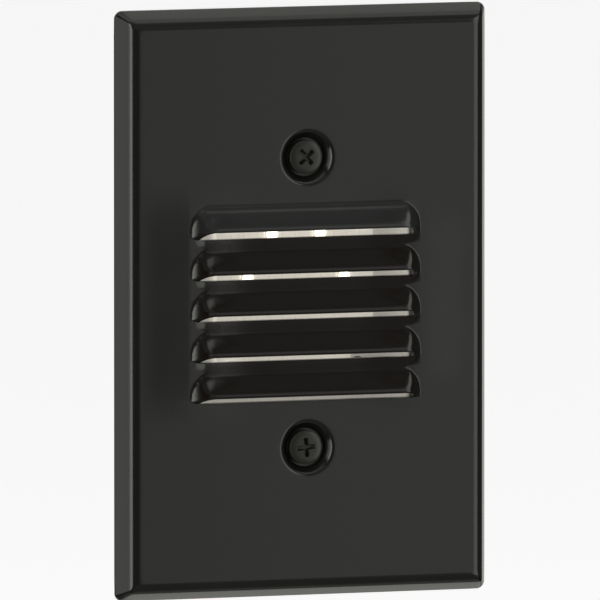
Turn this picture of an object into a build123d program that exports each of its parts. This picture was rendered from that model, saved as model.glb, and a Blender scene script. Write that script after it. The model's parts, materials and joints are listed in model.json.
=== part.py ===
from build123d import *
import math
import os

# Louvred step light for a single-gang wall box. Millimetres.
# The origin is the centre of the wall plane, between the two box-screw holes.
# +Z is up, the lit face looks along -Y and the driver reaches back along +Y, into the box.

# ---- driving dimensions: face plate ----
plate_width = 81.5
plate_height = 122.4
plate_depth = 5.0  # wall plane to raised face
edge_land = 0.65  # square edge against the wall
flank_angle = 28.0  # lean of the bevelled rim, in degrees
edge_round = 2.2  # round from the rim to the face
corner_round = 1.4
rim_wall = 2.4

# ---- driving dimensions: louvres ----
lip_heights = (14.93, 6.11, -2.42, -10.95, -19.48)  # lip of each hood above the centre
slot_gaps = (1.51, 1.19, 1.15, 1.08, 0.97)  # sill of each slot below its lip
slot_width = 47.8
slot_corner = 0.4
hood_height = 5.85  # from the lip up to the hood's root
hood_half_width = 25.4
hood_corner = 5.2
hood_slope = 33.0
hood_root_radius = 4.2
hood_flank_taper = 42.0
lip_radius = 0.95
lip_back = 0.75  # inner edge of the lip in front of the face
core_corner = 3.5
hood_embed = 0.6  # hood sunk into the plate, for a sound joint

# ---- driving dimensions: face screws and their recesses ----
screw_spacing = 60.3
recess_radius = 5.85
recess_floor_radius = 4.5
recess_depth = 2.6
recess_round = 0.8
boss_wall = 0.9
boss_embed = 0.8  # boss starts this far behind the face
face_head_radius = 3.85
face_head_height = 1.6
face_head_rim = 0.8  # straight side of the head below its dome
face_shank_radius = 1.72
face_screw_length = 12.0
cross_length = 4.4
cross_width = 1.0
cross_depth = 0.9
upper_cross_angle = 44.0
lower_cross_angle = 14.0

# ---- driving dimensions: gaskets and lens ----
wall_gasket_gap = 0.45  # strap to the gasket's inner edge
wall_gasket_thickness = 1.2
lens_gasket_thickness = 0.4
lens_thickness = 0.8
lens_overlap = 2.2  # how far the lens reaches past the tray's mouth
lens_gasket_width = 1.4
lens_corner = 3.0

# ---- driving dimensions: mounting strap ----
strap_thickness = 1.2
box_screw_spacing = 83.3
box_hole_radius = 2.2
strap_ear_width = 40.0
strap_ear_end = 9.8  # strap past the box-screw hole
strap_body_margin = 3.0  # strap past the tray's flange
strap_corner = 4.0
tapped_clearance = 0.05

# ---- driving dimensions: light tray ----
tray_sheet = 0.6
tray_inset = 0.6  # tray's side wall inside the slot's end
tray_margin = 0.6  # tray's mouth above and below the louvres
tray_depth = 6.1  # from the flange's front to the floor
tray_side_flange = 6.0
tray_end_flange = 2.1
tray_corner = 2.5
rivet_radius = 1.2
rivet_head_radius = 1.9
rivet_head_height = 0.6
rivet_height_spacing = 28.0

# ---- driving dimensions: LED board ----
board_width = 34.4
board_height = 36.6
board_top = 19.4  # above the plate's centre
board_thickness = 1.6
pad_thickness = 0.3
pad_margin = 0.8
notch_width = 5.0
notch_height = 8.4
led_size = 3.0
led_height = 0.65
led_ring = 10.6  # side of the hexagon that the LEDs lie on
led_ring_height = 4.7  # its centre above the plate's centre
board_screw_edge = 2.9
board_head_radius = 2.2
board_head_height = 1.3
board_shank_radius = 1.2
board_screw_length = 5.0
connector_width = 6.0
connector_depth = 3.2
connector_height = 3.0

# ---- driving dimensions: leads between the boards ----
lead_radius = 0.6
lead_spacing = 1.5
lead_bend = 3.2
lead_x = 14.4
lead_inset = 6.8  # leads above the housing's lower side
lead_stub = 0.2  # straight lead between the connector and the bend
bush_wall = 0.4

# ---- driving dimensions: driver housing ----
housing_width = 44.0
housing_height = 42.0
housing_depth = 26.0
housing_wall = 1.6
housing_corner = 3.0
corner_boss_radius = 2.8
corner_boss_inset = 3.4
housing_screw_z = 9.0
housing_screw_edge = 1.8  # screw axis inside the housing's outer face
housing_head_radius = 2.4
housing_head_height = 1.6
housing_shank_radius = 1.4
housing_screw_length = 6.0
housing_boss_radius = 2.6
housing_boss_depth = 6.0
cover_gasket_thickness = 0.8
cover_gasket_width = 1.5
cover_thickness = 1.2
cover_head_radius = 2.3
cover_head_height = 1.5
cover_shank_radius = 1.2
cover_screw_length = 9.0
grommet_bore = 3.0
grommet_neck = 4.0
grommet_flange = 5.6
grommet_lip = 1.0
grommet_x = 0.0
grommet_z = -9.0

# ---- driving dimensions: driver board ----
driver_thickness = 1.6
driver_back_gap = 2.2
driver_edge_gap = 0.5
post_radius = 2.2
post_place = (0.804, 0.0)  # places on the driver board are shares of its half sizes
driver_head_radius = 2.1
driver_head_height = 1.4
driver_screw_length = 6.0
transformer_size = (14.0, 12.0, 13.0)  # along X, off the board, along Z
transformer_leg = 3.0
transformer_place = (0.226, 0.317)
core_share = 0.42  # core's height as a share of the winding's
core_set_back = 2.0  # core lower than the transformer's full height
coil_gap = 0.6  # between winding and core
coil_foot_inset = 2.5  # foot inside the winding's ends
coil_foot_height = 1.8
coil_corner = 1.5
block_corner = 0.4
bulk_radius = 4.0
bulk_height = 12.0
bulk_place = (-0.482, -0.508)
output_radius = 3.15
output_height = 10.0
output_place = (0.432, -0.381)
choke_radius = 3.4
choke_height = 8.0
choke_place = (-0.382, 0.021)
film_size = (10.0, 8.0, 4.5)
film_place = (-0.397, 0.804)
varistor_radius = 3.5
varistor_thickness = 3.2
varistor_place = (-0.673, 0.455)
fuse_radius = 1.6
fuse_length = 8.0
fuse_place = (-0.05, -0.804)
fuse_cap_share = 0.2  # each end cap as a share of the fuse
rectifier_size = (8.0, 2.8, 6.0)
rectifier_place = (0.01, -0.455)
chip_size = (5.0, 1.5, 4.0)
chip_place = (0.382, -0.72)
driver_plug_size = (3.0, 5.0, 3.6)

# ---- driving dimensions: ground screw ----
ground_x = -13.0
ground_z = -33.0
ground_head_radius = 3.4
ground_head_height = 2.2
ground_shank_radius = 1.72
ground_reach = 0.9  # thread showing past the strap

# ---- clearances ----
fit = 0.05  # screw thread in its hole
hole_slack = 0.35  # plain hole round a screw
part_slack = 0.15  # loose part in its pocket
window_slack = 0.3

# ---- places worked out from the dimensions ----
face_y = -plate_depth
strap_front = -strap_thickness
flange_front = strap_front - tray_sheet
lens_front = flange_front - lens_thickness
skin_back = lens_front - lens_gasket_thickness
recess_floor = face_y + recess_depth
rim_inset = (plate_depth - edge_land) * math.tan(math.radians(flank_angle))
slope_rise = math.tan(math.radians(hood_slope))
lip_tangent = hood_height - lip_radius * (1 + math.sin(math.radians(hood_slope)))
slope_start = hood_root_radius * math.sin(math.radians(hood_slope))
slope_lift = hood_root_radius * (1 - math.cos(math.radians(hood_slope)))
lip_tangent_reach = slope_lift + (lip_tangent - slope_start) * slope_rise
lip_centre_reach = lip_tangent_reach - lip_radius * math.cos(math.radians(hood_slope))
hood_reach = lip_centre_reach + lip_radius
lip_y = face_y - hood_reach

tray_floor = flange_front + tray_depth
tray_back = tray_floor + tray_sheet
tray_width = slot_width - 2 * tray_inset
louvre_top = lip_heights[0] + hood_height
louvre_bottom = lip_heights[-1] - slot_gaps[-1]
tray_height = louvre_top - louvre_bottom + 2 * tray_margin
tray_z = (louvre_top + louvre_bottom) / 2
lens_width = tray_width + 2 * lens_overlap
lens_height = tray_height + 2 * lens_overlap
flange_width = tray_width + 2 * (tray_sheet + tray_side_flange)
flange_height = tray_height + 2 * (tray_sheet + tray_end_flange)
rivet_x = lens_width / 2 + rivet_head_radius + window_slack
strap_body_width = flange_width + 2 * strap_body_margin
strap_body_height = flange_height + 2 * strap_body_margin
strap_height = box_screw_spacing + 2 * strap_ear_end
wall_gasket_open_width = strap_body_width + 2 * wall_gasket_gap
wall_gasket_open_height = strap_height + 2 * wall_gasket_gap

board_back = tray_floor - pad_thickness
board_front = board_back - board_thickness
board_z = board_top - board_height / 2
board_right = board_width / 2
board_bottom = board_top - board_height
lead_y = board_front - connector_height / 2
lead_z = lead_inset - housing_height / 2

housing_back = tray_back + housing_depth
housing_inner_front = tray_back + housing_wall
corner_boss_x = housing_width / 2 - corner_boss_inset
corner_boss_z = housing_height / 2 - corner_boss_inset
housing_screw_x = housing_width / 2 - housing_screw_edge
cover_front = housing_back + cover_gasket_thickness
cover_back = cover_front + cover_thickness
driver_back = housing_back - driver_back_gap
driver_front = driver_back - driver_thickness
driver_half_width = housing_width / 2 - housing_wall - driver_edge_gap
driver_half_height = housing_height / 2 - housing_wall - driver_edge_gap
post_x = post_place[0] * driver_half_width


def between(outline, front, back):
    """A flat outline drawn in X and Z, filled from one depth to another."""
    return extrude(Plane.XZ.offset(-back) * outline, back - front)


def rounded_block(width, height, radius, front, back, x=0.0, z=0.0):
    """A block with rounded corners, seen from the front."""
    return between(Pos(x, z) * RectangleRounded(width, height, radius), front, back)


def disc(radius, front, back, x=0.0, z=0.0):
    """A round bar or hole along Y."""
    return between(Pos(x, z) * Circle(radius), front, back)


def on_both_signs(x, z):
    """The four places with the same distances from the centre lines."""
    return [(sx * x, sz * z) for sx in (-1, 1) for sz in (-1, 1)]


def save(part, name):
    """Writes one sub-part."""
    part.label = name
    export_step(part, f"parts/{name}.step")


# ---- face plate ----
def rim_profile(span):
    """Section across the plate: square edge, leaning flank, rounded shoulder, flat face."""
    half = span / 2
    points = [
        (-half, 0),
        (half, 0),
        (half, -edge_land),
        (half - rim_inset, face_y),
        (rim_inset - half, face_y),
        (-half, -edge_land),
    ]
    profile = make_face(Polyline(*points, close=True))
    shoulders = profile.vertices().sort_by(Axis.Y)[:2]
    return fillet(shoulders, edge_round)


def plate_blank():
    """The bevelled plate: two sections, one across and one up, meet in mitred corners."""
    across = extrude(rim_profile(plate_width), plate_height / 2, both=True)
    upright = Plane(origin=(0, 0, 0), x_dir=(0, 0, 1), z_dir=(-1, 0, 0))
    along = extrude(upright * rim_profile(plate_height), plate_width / 2, both=True)
    outline = rounded_block(plate_width, plate_height, corner_round, face_y - 1, 1)
    return across & along & outline


def hood_outline(half_width, bottom, top, corner):
    """A flat-bottomed outline with rounded upper corners."""
    outline = Pos(0, (bottom + top) / 2) * Rectangle(2 * half_width, top - bottom)
    upper = outline.vertices().sort_by(Axis.Y)[-2:]
    return fillet(upper, corner)


def across_plate(points, half_width):
    """A section drawn in height and depth, run across the plate."""
    section = Plane(origin=(0, 0, 0), x_dir=(0, 0, 1), z_dir=(-1, 0, 0)) * make_face(points)
    return extrude(section, half_width, both=True)


def hood_section(lip):
    """Hollow curve out of the face, straight slope, round lip, flat underside."""
    root = lip + hood_height
    half_slope = math.radians(hood_slope / 2)
    half_sweep = math.radians(90 - hood_slope) / 2
    start = (root, face_y)
    bend_mid = (
        root - hood_root_radius * math.sin(half_slope),
        face_y - hood_root_radius * (1 - math.cos(half_slope)),
    )
    bend = (root - slope_start, face_y - slope_lift)
    tangent = (root - lip_tangent, face_y - lip_tangent_reach)
    centre = (lip + lip_radius, face_y - lip_centre_reach)
    nose_mid = (
        centre[0] - lip_radius * math.cos(half_sweep),
        centre[1] - lip_radius * math.sin(half_sweep),
    )
    under = (lip, centre[1])
    back = (lip, face_y + hood_embed)
    curve = ThreePointArc(start, bend_mid, bend)
    curve += Line(bend, tangent)
    curve += ThreePointArc(tangent, nose_mid, under)
    return curve + Polyline(under, back, (root, face_y + hood_embed), start)


def hood(lip, gap):
    """One hood: its section runs across, its ends lean in and come down to the sill."""
    sill = lip - gap
    body = across_plate(hood_section(lip), hood_half_width)
    mouth = Polyline(
        (lip, face_y + hood_embed),
        (lip, lip_y),
        (sill, face_y),
        (sill, face_y + hood_embed),
        close=True,
    )
    body += across_plate(mouth, hood_half_width)
    outline = hood_outline(hood_half_width, sill - 4, lip + hood_height, hood_corner)
    lean = extrude(Plane.XZ.offset(-face_y) * outline, hood_reach + 0.2, taper=hood_flank_taper)
    return body & (lean + between(outline, face_y, face_y + hood_embed))


def slot_cut(lip, gap):
    """The lit slot below one lip, right through to the front."""
    opening = Pos(0, lip - gap / 2) * RectangleRounded(slot_width, gap, slot_corner)
    return between(opening, lip_y - 1, skin_back + 1)


def hood_core(lip, gap):
    """The hollow behind one hood, which runs up behind its slope."""
    climb = (skin_back + 1 - face_y + lip_back) / slope_rise
    top = lip + (skin_back - face_y + lip_back) / slope_rise
    corners = Polyline(
        (lip - gap, face_y - lip_back),
        (lip, face_y - lip_back),
        (lip + climb, skin_back + 1),
        (lip - gap, skin_back + 1),
        close=True,
    )
    outline = hood_outline(slot_width / 2, lip - gap, top, core_corner)
    return across_plate(corners, slot_width) & between(outline, lip_y, skin_back + 1)


def recess_cut(z):
    """A dished screw recess with its clearance hole."""
    points = [
        (0, face_y - 1),
        (recess_radius + recess_round, face_y - 1),
        (recess_radius + recess_round, face_y),
        (recess_radius - recess_round / 2, face_y),
        (recess_floor_radius, recess_floor),
        (0, recess_floor),
    ]
    profile = make_face(Polyline(*points, close=True))
    edge = profile.vertices().sort_by_distance((recess_radius - recess_round / 2, face_y))[0]
    dish = revolve(fillet(edge, recess_round), Axis.Y)
    hole = disc(face_shank_radius + hole_slack, face_y - 1, 1)
    return Pos(0, 0, z) * (dish + hole)


def screw_boss(z):
    """The round boss behind a recess, which bears on the strap."""
    return disc(recess_floor_radius + boss_wall, face_y + boss_embed, strap_front, z=z)


def gasket_opening(slack):
    """Width and height of the step in the plate's back that holds the wall gasket."""
    return plate_width - 2 * (rim_wall + slack), plate_height - 2 * (rim_wall + slack)


def plate_pockets():
    """The step for the wall gasket and the deeper pocket for the strap and lens."""
    width, height = gasket_opening(0)
    step = rounded_block(width, height, corner_round, -wall_gasket_thickness, 1)
    inner = (wall_gasket_open_width, wall_gasket_open_height)
    pocket = rounded_block(*inner, corner_round, skin_back, 1)
    return step + pocket


def face_plate():
    """Die-cast louvred face plate."""
    plate = plate_blank() - plate_pockets()
    for lip, gap in zip(lip_heights, slot_gaps):
        plate += hood(lip, gap)
    for lip, gap in zip(lip_heights, slot_gaps):
        plate -= hood_core(lip, gap)
        plate -= slot_cut(lip, gap)
    for z in (screw_spacing / 2, -screw_spacing / 2):
        plate += screw_boss(z)
        plate -= recess_cut(z)
    return plate


# ---- screws ----
def headed_screw(head_radius, rim, height, shank_radius, length, cross, facing=1):
    """A pan-head screw along Y, its seat at y = 0 and its head towards -Y."""
    points = [
        (0, -height),
        (head_radius, -rim),
        (head_radius, 0),
        (shank_radius, 0),
        (shank_radius, length - shank_radius / 2),
        (shank_radius / 2, length),
        (0, length),
    ]
    dome = ThreePointArc(points[0], (head_radius * 0.62, -(rim + (height - rim) * 0.72)), points[1])
    outline = make_face(dome + Polyline(*points[1:], points[0]))
    screw = revolve(outline, Axis.Y)
    wing = Rectangle(cross_length * cross, cross_width * cross)
    wings = wing + Rot(0, 0, 90) * wing
    screw -= between(wings, -height - 1, -height + cross_depth * cross)
    return screw if facing > 0 else Rot(0, 0, 180) * screw


def face_screws():
    """The two screws that hold the plate to the strap."""
    sizes = (face_head_radius, face_head_rim, face_head_height, face_shank_radius)
    screw = headed_screw(*sizes, face_screw_length, 1.0)
    upper = Pos(0, recess_floor, screw_spacing / 2) * Rot(0, upper_cross_angle, 0) * screw
    lower = Pos(0, recess_floor, -screw_spacing / 2) * Rot(0, lower_cross_angle, 0) * screw
    return Compound(children=[upper, lower])


def board_screw_places():
    """Three corners of the LED board: the fourth is cut away for the leads."""
    x = board_right - board_screw_edge
    high = board_top - board_screw_edge
    low = board_bottom + board_screw_edge
    return [(-x, high), (x, high), (-x, low)]


def board_screws():
    """The screws that clamp the LED board to the tray and housing."""
    rim = board_head_height / 2
    sizes = (board_head_radius, rim, board_head_height, board_shank_radius)
    screw = headed_screw(*sizes, board_screw_length, 0.55)
    return Compound(children=[Pos(x, board_front, z) * screw for x, z in board_screw_places()])


def housing_screws():
    """The screws through the tray's floor into the housing."""
    rim = housing_head_height / 2
    sizes = (housing_head_radius, rim, housing_head_height, housing_shank_radius)
    screw = headed_screw(*sizes, housing_screw_length, 0.6)
    places = on_both_signs(housing_screw_x, housing_screw_z)
    return Compound(children=[Pos(x, tray_floor, z) * screw for x, z in places])


def driver_screws():
    """The screws that hold the driver board on its posts, from the back."""
    rim = driver_head_height / 2
    sizes = (driver_head_radius, rim, driver_head_height, board_shank_radius)
    screw = headed_screw(*sizes, driver_screw_length, 0.55, facing=-1)
    return Compound(children=[Pos(x, driver_back, 0) * screw for x in (-post_x, post_x)])


def cover_screws():
    """The screws that hold the rear cover."""
    rim = cover_head_height / 2
    sizes = (cover_head_radius, rim, cover_head_height, cover_shank_radius)
    screw = headed_screw(*sizes, cover_screw_length, 0.55, facing=-1)
    places = on_both_signs(corner_boss_x, corner_boss_z)
    return Compound(children=[Pos(x, cover_back, z) * screw for x, z in places])


def ground_screw():
    """The grounding screw in the strap, head to the back."""
    length = strap_thickness + ground_reach
    rim = ground_head_height * 0.6
    sizes = (ground_head_radius, rim, ground_head_height, ground_shank_radius)
    screw = headed_screw(*sizes, length, 0.9, facing=-1)
    return Pos(ground_x, 0, ground_z) * screw


# ---- gaskets and lens ----
def wall_gasket():
    """Foam ring between the plate's rim and the wall."""
    width, height = gasket_opening(part_slack)
    ring = RectangleRounded(width, height, corner_round)
    ring -= RectangleRounded(wall_gasket_open_width, wall_gasket_open_height, corner_round)
    return between(ring, -wall_gasket_thickness, 0)


def clear_of_bosses(part):
    """Cuts a part back where it would meet the two screw bosses."""
    radius = recess_floor_radius + boss_wall + window_slack
    for z in (screw_spacing / 2, -screw_spacing / 2):
        part -= disc(radius, skin_back - 1, flange_front + tray_sheet, z=z)
    return part


def lens():
    """Clear cover over the tray's mouth."""
    sizes = (lens_width, lens_height, lens_corner)
    return clear_of_bosses(rounded_block(*sizes, lens_front, flange_front, z=tray_z))


def lens_gasket():
    """Silicone ring between the plate and the lens."""
    ring = RectangleRounded(lens_width, lens_height, lens_corner)
    inner = (lens_width - 2 * lens_gasket_width, lens_height - 2 * lens_gasket_width)
    ring -= RectangleRounded(*inner, lens_corner - lens_gasket_width)
    return clear_of_bosses(between(Pos(0, tray_z) * ring, skin_back, lens_front))


# ---- strap and tray ----
def strap_outline():
    """Wide middle with two ears that reach the box screws."""
    body = Pos(0, tray_z) * RectangleRounded(strap_body_width, strap_body_height, strap_corner)
    ears = RectangleRounded(strap_ear_width, strap_height, strap_corner)
    return body + ears


def mounting_strap():
    """Steel strap: box-screw holes, tapped holes for the face screws, window for the tray."""
    strap = between(strap_outline(), strap_front, 0)
    window = 2 * (tray_sheet + window_slack)
    sizes = (tray_width + window, tray_height + window, tray_corner)
    strap -= rounded_block(*sizes, strap_front - 1, 1, z=tray_z)
    for sign in (-1, 1):
        strap -= disc(box_hole_radius, strap_front - 1, 1, z=sign * box_screw_spacing / 2)
        strap -= disc(face_shank_radius + fit, strap_front - 1, 1, z=sign * screw_spacing / 2)
    for x, z in on_both_signs(rivet_x, rivet_height_spacing / 2):
        strap -= disc(rivet_radius + fit, strap_front - 1, 1, x, z)
    strap -= disc(ground_shank_radius + fit, strap_front - 1, 1, ground_x, ground_z)
    return strap


def strap_rivets():
    """Rivets that hold the tray's flange to the strap."""
    shank = disc(rivet_radius, flange_front, 0)
    head = disc(rivet_head_radius, flange_front - rivet_head_height, flange_front)
    tail = disc(rivet_head_radius, 0, rivet_head_height)
    rivet = shank + head + tail
    places = on_both_signs(rivet_x, rivet_height_spacing / 2)
    return Compound(children=[Pos(x, 0, z) * rivet for x, z in places])


def light_tray():
    """Bright pressed tray that carries the LED board behind the louvres."""
    edge = (flange_width, flange_height, tray_corner)
    flange = rounded_block(*edge, flange_front, strap_front, z=tray_z)
    outer = (tray_width + 2 * tray_sheet, tray_height + 2 * tray_sheet, tray_corner)
    tray = clear_of_bosses(flange) + rounded_block(*outer, flange_front, tray_back, z=tray_z)
    inner = (tray_width, tray_height, tray_corner - tray_sheet)
    tray -= rounded_block(*inner, flange_front - 1, tray_floor, z=tray_z)
    for x, z in on_both_signs(rivet_x, rivet_height_spacing / 2):
        tray -= disc(rivet_radius + fit, flange_front - 1, 1, x, z)
    for x, z in on_both_signs(housing_screw_x, housing_screw_z):
        tray -= disc(housing_shank_radius + fit, tray_floor - 1, tray_back + 1, x, z)
    for x, z in board_screw_places():
        tray -= disc(board_shank_radius + fit, tray_floor - 1, tray_back + 1, x, z)
    tray -= disc(bush_radius(), tray_floor - 1, tray_back + 1, lead_x, lead_z)
    return tray


# ---- LED board ----
def notched(width, height, notch_x, notch_z):
    """A rectangle with its lower right corner cut away for the leads."""
    outline = Rectangle(width, height)
    corner = Pos(width / 2 - notch_x / 2, notch_z / 2 - height / 2) * Rectangle(notch_x, notch_z)
    return Pos(0, board_z) * (outline - corner)


def led_board():
    """White-faced metal-core board."""
    outline = notched(board_width, board_height, notch_width, notch_height)
    board = between(outline, board_front, board_back)
    for x, z in board_screw_places():
        board -= disc(board_shank_radius + hole_slack, board_front - 1, board_back + 1, x, z)
    return board


def thermal_pad():
    """Soft pad that carries the board's heat to the tray."""
    width = board_width - 2 * pad_margin
    height = board_height - 2 * pad_margin
    pad = between(notched(width, height, notch_width, notch_height), board_back, tray_floor)
    for x, z in board_screw_places():
        pad -= disc(board_shank_radius + hole_slack, board_back - 1, tray_floor + 1, x, z)
    return pad


def led_places():
    """Upper four corners of a hexagon standing on its flat."""
    high = led_ring_height + led_ring * math.sin(math.radians(60))
    near = led_ring * math.cos(math.radians(60))
    return [(-near, high), (near, high), (-led_ring, led_ring_height), (led_ring, led_ring_height)]


def led_chips():
    """The LED packages on the board."""
    chip = rounded_block(led_size, led_size, 0.3, board_front - led_height, board_front)
    return Compound(children=[Pos(x, 0, z) * chip for x, z in led_places()])


def connector_place():
    """Centre of the lead connector on the LED board."""
    return lead_x - lead_bend - lead_stub - connector_width / 2, lead_z


def lead_heights():
    """How far each of the two leads lies above the pair's middle."""
    return (lead_spacing / 2, -lead_spacing / 2)


def board_connector():
    """Two-way lead connector at the foot of the LED board."""
    x, z = connector_place()
    sizes = (connector_width, connector_depth, 0.4)
    body = rounded_block(*sizes, board_front - connector_height, board_front, x, z)
    for rise in lead_heights():
        side = Plane(origin=(x + connector_width / 2, lead_y, z + rise), z_dir=(1, 0, 0))
        body -= extrude(side * Circle(lead_radius + fit), 2, both=True)
    return body


def lead_path(rise):
    """From the connector along the board, round a bend and back to the driver."""
    height = lead_z + rise
    start = (lead_x - lead_bend - 2 + fit, lead_y, height)
    bend_start = (lead_x - lead_bend, lead_y, height)
    swing = lead_bend * math.sqrt(0.5)
    bend_mid = (lead_x - lead_bend + swing, lead_y + lead_bend - swing, height)
    bend_end = (lead_x, lead_y + lead_bend, height)
    end = (lead_x, driver_front - driver_plug_size[1] + 2 - fit, height)
    bend = ThreePointArc(bend_start, bend_mid, bend_end)
    return Line(start, bend_start) + bend + Line(bend_end, end)


def led_lead(rise):
    """One insulated lead between the boards."""
    path = lead_path(rise)
    section = Plane(origin=path @ 0, z_dir=path % 0) * Circle(lead_radius)
    return sweep(section, path)


def bush_radius():
    """Outer radius of the bush round the two leads."""
    return lead_spacing / 2 + lead_radius + 0.15 + bush_wall


def lead_bush():
    """Soft bush where the leads pass through the tray and the housing."""
    front = tray_floor - 0.4
    bush = disc(bush_radius() - 0.02, front, housing_inner_front, lead_x, lead_z)
    bush -= disc(bush_radius() - bush_wall, front - 1, housing_inner_front + 1, lead_x, lead_z)
    return bush


# ---- driver housing ----
def driver_housing():
    """Cast box for the driver, open at the back."""
    sizes = (housing_width, housing_height, housing_corner)
    box = rounded_block(*sizes, tray_back, housing_back)
    inner = (housing_width - 2 * housing_wall, housing_height - 2 * housing_wall)
    box -= rounded_block(*inner, housing_corner - housing_wall, housing_inner_front, housing_back + 1)
    room = rounded_block(*sizes, tray_back, housing_back)
    for x, z in on_both_signs(corner_boss_x, corner_boss_z):
        box += disc(corner_boss_radius, housing_inner_front - 0.5, housing_back, x, z)
    for x, z in on_both_signs(housing_screw_x, housing_screw_z):
        boss_back = tray_back + housing_boss_depth + 1.5
        box += disc(housing_boss_radius, housing_inner_front - 0.5, boss_back, x, z) & room
    for x in (-post_x, post_x):
        box += disc(post_radius, housing_inner_front - 0.5, driver_front, x, 0)
    for x, z in on_both_signs(corner_boss_x, corner_boss_z):
        depth = housing_back - cover_screw_length
        box -= disc(cover_shank_radius + fit, depth, housing_back + 1, x, z)
    for x, z in on_both_signs(housing_screw_x, housing_screw_z):
        box -= disc(housing_shank_radius + fit, tray_back - 1, tray_back + housing_boss_depth, x, z)
    for x in (-post_x, post_x):
        tapped = driver_front - driver_screw_length
        box -= disc(board_shank_radius + fit, tapped, driver_front + 1, x, 0)
    for x, z in board_screw_places():
        box -= disc(board_shank_radius + fit, tray_back - 1, housing_inner_front + 3, x, z)
    box -= disc(bush_radius(), tray_back - 1, housing_inner_front + 1, lead_x, lead_z)
    return box


def cover_gasket():
    """Ring between the housing's rim and the rear cover."""
    ring = RectangleRounded(housing_width, housing_height, housing_corner)
    inner = (housing_width - 2 * cover_gasket_width, housing_height - 2 * cover_gasket_width)
    ring -= RectangleRounded(*inner, housing_corner - cover_gasket_width)
    gasket = between(ring, housing_back, cover_front)
    for x, z in on_both_signs(corner_boss_x, corner_boss_z):
        eye = disc(corner_boss_radius, housing_back, cover_front, x, z)
        gasket += eye
        gasket -= disc(cover_shank_radius + hole_slack, housing_back - 1, cover_front + 1, x, z)
    return gasket


def rear_cover():
    """Sheet cover that closes the housing."""
    sizes = (housing_width, housing_height, housing_corner)
    cover = rounded_block(*sizes, cover_front, cover_back)
    for x, z in on_both_signs(corner_boss_x, corner_boss_z):
        cover -= disc(cover_shank_radius + hole_slack, cover_front - 1, cover_back + 1, x, z)
    cover -= disc(grommet_neck + fit, cover_front - 1, cover_back + 1, grommet_x, grommet_z)
    return cover


def supply_grommet():
    """Rubber grommet where the supply leads enter."""
    front = cover_front - grommet_lip
    back = cover_back + grommet_lip
    grommet = disc(grommet_neck, front, back)
    grommet += disc(grommet_flange, front, cover_front)
    grommet += disc(grommet_flange, cover_back, back)
    grommet -= disc(grommet_bore, front - 1, back + 1)
    return Pos(grommet_x, 0, grommet_z) * grommet


# ---- driver board ----
def driver_board():
    """Driver board on the housing's two posts, cut away round the corner bosses."""
    outline = Rectangle(2 * driver_half_width, 2 * driver_half_height)
    board = between(outline, driver_front, driver_back)
    for x, z in on_both_signs(corner_boss_x, corner_boss_z):
        board -= disc(corner_boss_radius + driver_edge_gap, driver_front - 1, driver_back + 1, x, z)
    for x in (-post_x, post_x):
        board -= disc(board_shank_radius + hole_slack, driver_front - 1, driver_back + 1, x, 0)
    return board


def spot(place):
    """A place on the driver board, from its shares of the board's half sizes."""
    return place[0] * driver_half_width, place[1] * driver_half_height


def on_driver(size, place, corner=block_corner):
    """A block standing on the driver board."""
    x, z = spot(place)
    return rounded_block(size[0], size[2], corner, driver_front - size[1], driver_front, x, z)


def can_on_driver(radius, height, place):
    """A round can on the driver board, with a rounded top and a crimp near its foot."""
    x, z = spot(place)
    front = driver_front - height
    can = disc(radius, front, driver_front, x, z)
    can = fillet(can.edges().sort_by(Axis.Y)[0], radius * 0.15)
    groove = disc(radius + 1, driver_front - 2.2, driver_front - 1.7, x, z)
    groove -= disc(radius - 0.25, driver_front - 2.2, driver_front - 1.7, x, z)
    return can - groove


def transformer_core():
    """Ferrite frame with two windows round its middle leg."""
    width, height, depth = transformer_size
    leg = transformer_leg
    core = on_driver((width, height - core_set_back, depth * core_share), transformer_place)
    window_width = (width - 3 * leg) / 2
    middle_x, middle_z = spot(transformer_place)
    middle_y = driver_front - (height - core_set_back) / 2
    for side in (-1, 1):
        x = middle_x + side * (leg + window_width) / 2
        core -= Pos(x, middle_y, middle_z) * Box(window_width, height - core_set_back - leg, depth)
    return core


def transformer_coil():
    """Taped winding through the core's windows."""
    width, height, depth = transformer_size
    reach = height - core_set_back - transformer_leg - coil_gap
    winding = (width - transformer_leg - coil_gap, reach, depth)
    coil = on_driver(winding, transformer_place, coil_corner)
    coil = Pos(0, -(transformer_leg + coil_gap) / 2, 0) * coil
    foot = (width - 2 * coil_foot_inset, coil_foot_height, depth - 2)
    return coil + on_driver(foot, transformer_place) - transformer_core()


def surge_varistor():
    """Disc varistor standing on edge."""
    x, z = spot(varistor_place)
    stand = Plane(origin=(x, driver_front - varistor_radius, z), z_dir=(1, 0, 0))
    return extrude(stand * Circle(varistor_radius), varistor_thickness / 2, both=True)


def input_fuse():
    """Small fuse lying on the board, with its end caps."""
    x, z = spot(fuse_place)
    stand = Plane(origin=(x, driver_front - fuse_radius, z), z_dir=(1, 0, 0))
    body = extrude(stand * Circle(fuse_radius * 0.88), fuse_length / 2, both=True)
    for side in (-1, 1):
        cap = extrude(stand * Circle(fuse_radius), fuse_length * fuse_cap_share / 2, both=True)
        body += Pos(side * fuse_length * (1 - fuse_cap_share) / 2, 0, 0) * cap
    return body


def driver_plug():
    """Connector where the leads meet the driver board."""
    place = (lead_x / driver_half_width, lead_z / driver_half_height)
    plug = on_driver(driver_plug_size, place)
    for rise in lead_heights():
        front = driver_front - driver_plug_size[1]
        plug -= disc(lead_radius + fit, front - 1, front + 2, lead_x, lead_z + rise)
    return plug


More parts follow.
